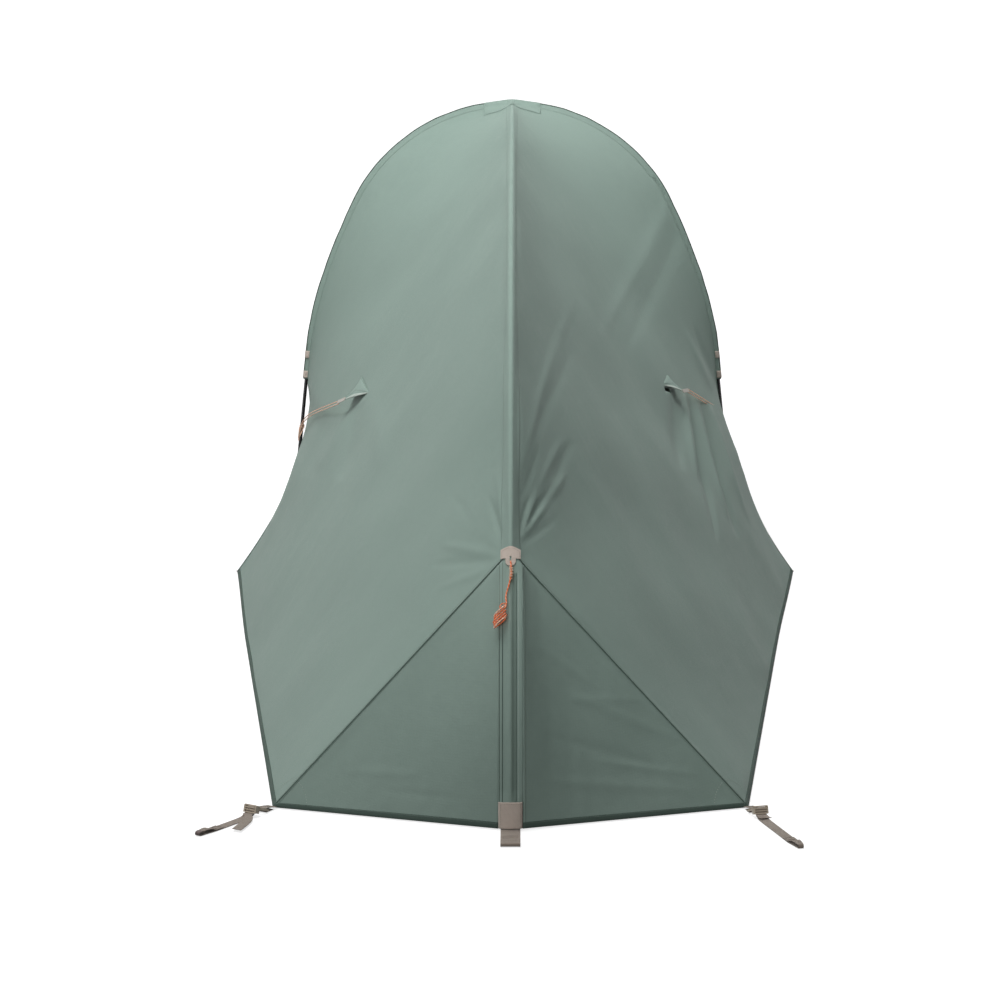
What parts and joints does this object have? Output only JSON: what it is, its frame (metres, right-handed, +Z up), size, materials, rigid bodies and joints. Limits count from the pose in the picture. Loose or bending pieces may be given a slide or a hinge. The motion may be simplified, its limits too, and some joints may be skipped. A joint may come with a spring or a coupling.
{
  "type": "one-person tent",
  "caption": "Ridge-and-arch tent: a fly stretched over crossing poles, with a rear apex cap, a zipped front porch and an inner tent with a tub floor.",
  "frame": {"origin": "middle of the tub floor's underside, on the ground", "axes": "+Y from the rear peg to the front porch, +Z up, +X to the right when seen from the rear"},
  "size_m": [1.3402, 3.4484, 1.1174],
  "materials": {
    "fly_cloth": "coated ripstop cloth, matt",
    "sleeve_cloth": "plain woven cloth, matt",
    "taupe_webbing": "flat woven webbing",
    "orange_cord": "braided cord with pale flecks",
    "inner_cloth": "light breathable cloth",
    "floor_cloth": "coated groundsheet cloth",
    "pole_metal": "black anodised tube",
    "black_plastic": "moulded, matt",
    "taupe_plastic": "moulded, matt",
    "slider_metal": "plated die casting"
  },
  "bodies": {
    "tent": {"arch_pole_left_upper": "pole_metal", "arch_pole_left_lower": "pole_metal", "arch_pole_right_upper": "pole_metal", "arch_pole_right_lower": "pole_metal", "ridge_pole_1": "pole_metal", "ridge_pole_2": "pole_metal", "ridge_pole_3": "pole_metal", "ridge_pole_4": "pole_metal", "pole_hub": "black_plastic", "pole_tip_left": "black_plastic", "pole_tip_right": "black_plastic", "pole_tip_rear": "black_plastic", "arch_sleeve_left": "sleeve_cloth", "arch_sleeve_right": "sleeve_cloth", "ridge_sleeve": "sleeve_cloth", "rear_sleeve": "sleeve_cloth", "door_zip": "sleeve_cloth", "fly_side_left": "fly_cloth", "fly_side_right": "fly_cloth", "fly_rear_left": "fly_cloth", "fly_rear_right": "fly_cloth", "fly_front_left": "fly_cloth", "fly_front_right": "fly_cloth", "crown_patch": "fly_cloth", "vent_hood_left": "fly_cloth", "vent_hood_right": "fly_cloth", "sleeve_tab_left_upper": "taupe_webbing", "sleeve_tab_left_lower": "taupe_webbing", "sleeve_tab_right_upper": "taupe_webbing", "sleeve_tab_right_lower": "taupe_webbing", "rear_cap": "taupe_webbing", "rear_pocket": "taupe_webbing", "rear_strap": "taupe_webbing", "corner_tab_left": "taupe_webbing", "corner_tab_right": "taupe_webbing", "foot_strap_left": "taupe_webbing", "foot_strap_right": "taupe_webbing", "front_loop_left": "taupe_webbing", "front_loop_right": "taupe_webbing", "inner_hanger_1": "taupe_webbing", "inner_hanger_2": "taupe_webbing", "inner_hanger_3": "taupe_webbing", "vent_cord_left": "orange_cord", "vent_cord_right": "orange_cord", "guyline": "orange_cord", "guyline_hank": "orange_cord", "inner_floor": "floor_cloth", "inner_side_left": "inner_cloth", "inner_side_right": "inner_cloth", "inner_front": "inner_cloth"},
    "door": {"fly_door": "fly_cloth"},
    "door_slider": {"door_zip_slider": "slider_metal"},
    "inner_door": {"inner_door": "inner_cloth"},
    "inner_slider": {"inner_zip_slider": "slider_metal"},
    "buckle_left": {"corner_buckle_left": "taupe_plastic", "corner_strap_left": "taupe_webbing"},
    "buckle_right": {"corner_buckle_right": "taupe_plastic", "corner_strap_right": "taupe_webbing"}
  },
  "joints": [
    {"name": "door_hinge", "type": "hinge", "parent": "tent", "child": "door", "pos_m": [-0.4, 2, 0.0025], "axis": [0.2711, -0.5823, 0.7664], "range_deg": [0, 100]},
    {"name": "door_zip_slide", "type": "slide", "parent": "tent", "child": "door_slider", "axis": [-0.2711, -0.5823, 0.7664], "range_m": [0, 1.3]},
    {"name": "inner_door_hinge", "type": "hinge", "parent": "tent", "child": "inner_door", "pos_m": [0, 1.03708, 0.105], "axis": [-1, 0, 0], "range_deg": [0, 90]},
    {"name": "inner_zip_slide", "type": "slide", "parent": "tent", "child": "inner_slider", "axis": [0, -0.115, 0.9934], "range_m": [0, 0.26]},
    {"name": "buckle_tilt_left", "type": "hinge", "parent": "tent", "child": "buckle_left", "pos_m": [-0.45843, -1.12984, 0.0048], "axis": [-0.8387, 0.5446, 0], "range_deg": [0, 60]},
    {"name": "buckle_tilt_right", "type": "hinge", "parent": "tent", "child": "buckle_right", "pos_m": [0.44982, -1.13376, 0.0048], "axis": [-0.9613, -0.2756, 0], "range_deg": [0, 60]}
  ]
}
